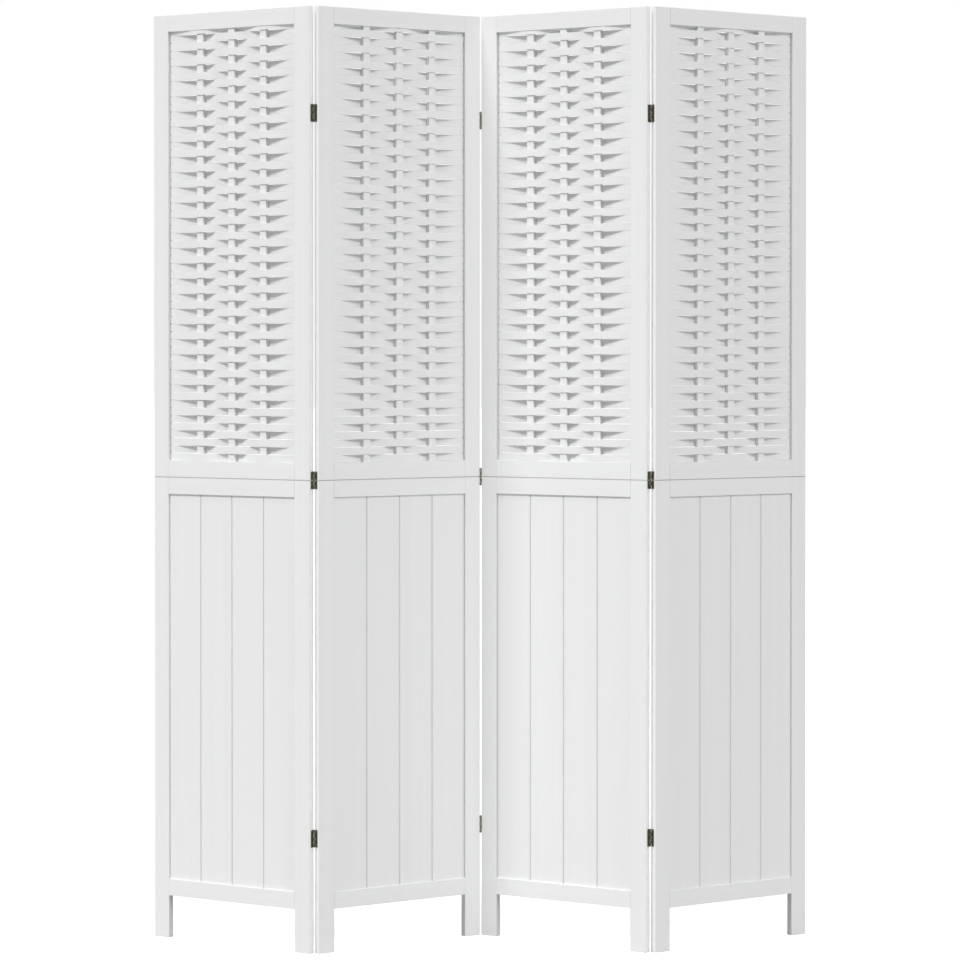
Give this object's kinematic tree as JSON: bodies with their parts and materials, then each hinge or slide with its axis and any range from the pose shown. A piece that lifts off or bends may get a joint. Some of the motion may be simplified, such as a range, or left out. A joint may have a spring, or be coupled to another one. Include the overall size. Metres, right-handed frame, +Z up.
{
  "type": "folding screen",
  "caption": "Free-standing folding screen of hinged wooden panels, woven slats above and tongue and groove boards below, painted white, standing in a zigzag.",
  "frame": {"origin": "on the floor, under the centre of the screen's bounding box in its zigzag stance", "axes": "+X along the line of the screen to the viewer's right, +Y through the zigzag away from the viewer, +Z up"},
  "size_m": [1.2058, 0.1984, 1.7],
  "materials": {
    "frame_paint": "white paint, satin",
    "board_paint": "white paint, satin",
    "batten_paint": "white paint, satin",
    "slat_paint": "white paint, satin",
    "dowel_wood": "bare turned wood",
    "hinge_bronze": "dark bronze plate, satin",
    "screw_bronze": "dark bronze plate, satin"
  },
  "bodies": {
    "panel_1": {"panel_1_upper_left_stile": "frame_paint", "panel_1_upper_right_stile": "frame_paint", "panel_1_lower_left_stile": "frame_paint", "panel_1_lower_right_stile": "frame_paint", "panel_1_top_rail": "frame_paint", "panel_1_sill_rail": "frame_paint", "panel_1_cap_rail": "frame_paint", "panel_1_bottom_rail": "frame_paint", "panel_1_seam_dowels": "dowel_wood", "panel_1_boards": "board_paint", "panel_1_battens": "batten_paint", "panel_1_slats": "slat_paint", "panel_1_hinge_leaves": "hinge_bronze", "panel_1_hinge_screws": "screw_bronze", "fold_1_hinge_pins": "hinge_bronze"},
    "panel_2": {"panel_2_upper_left_stile": "frame_paint", "panel_2_upper_right_stile": "frame_paint", "panel_2_lower_left_stile": "frame_paint", "panel_2_lower_right_stile": "frame_paint", "panel_2_top_rail": "frame_paint", "panel_2_sill_rail": "frame_paint", "panel_2_cap_rail": "frame_paint", "panel_2_bottom_rail": "frame_paint", "panel_2_seam_dowels": "dowel_wood", "panel_2_boards": "board_paint", "panel_2_battens": "batten_paint", "panel_2_slats": "slat_paint", "panel_2_hinge_leaves": "hinge_bronze", "panel_2_hinge_screws": "screw_bronze", "fold_2_hinge_pins": "hinge_bronze"},
    "panel_3": {"panel_3_upper_left_stile": "frame_paint", "panel_3_upper_right_stile": "frame_paint", "panel_3_lower_left_stile": "frame_paint", "panel_3_lower_right_stile": "frame_paint", "panel_3_top_rail": "frame_paint", "panel_3_sill_rail": "frame_paint", "panel_3_cap_rail": "frame_paint", "panel_3_bottom_rail": "frame_paint", "panel_3_seam_dowels": "dowel_wood", "panel_3_boards": "board_paint", "panel_3_battens": "batten_paint", "panel_3_slats": "slat_paint", "panel_3_hinge_leaves": "hinge_bronze", "panel_3_hinge_screws": "screw_bronze", "fold_3_hinge_pins": "hinge_bronze"},
    "panel_4": {"panel_4_upper_left_stile": "frame_paint", "panel_4_upper_right_stile": "frame_paint", "panel_4_lower_left_stile": "frame_paint", "panel_4_lower_right_stile": "frame_paint", "panel_4_top_rail": "frame_paint", "panel_4_sill_rail": "frame_paint", "panel_4_cap_rail": "frame_paint", "panel_4_bottom_rail": "frame_paint", "panel_4_seam_dowels": "dowel_wood", "panel_4_boards": "board_paint", "panel_4_battens": "batten_paint", "panel_4_slats": "slat_paint", "panel_4_hinge_leaves": "hinge_bronze", "panel_4_hinge_screws": "screw_bronze"}
  },
  "joints": [
    {"name": "fold_1", "type": "hinge", "parent": "panel_2", "child": "panel_1", "pos_m": [-0.3022, -0.08857, 0.85], "axis": [0, 0, 1], "range_deg": [-114.6, 65.4]},
    {"name": "fold_2", "type": "hinge", "parent": "panel_2", "child": "panel_3", "pos_m": [0, 0.08857, 0.85], "axis": [0, 0, 1], "range_deg": [-114.6, 65.4]},
    {"name": "fold_3", "type": "hinge", "parent": "panel_3", "child": "panel_4", "pos_m": [0.3022, -0.08857, 0.85], "axis": [0, 0, 1], "range_deg": [-65.4, 114.6]}
  ]
}
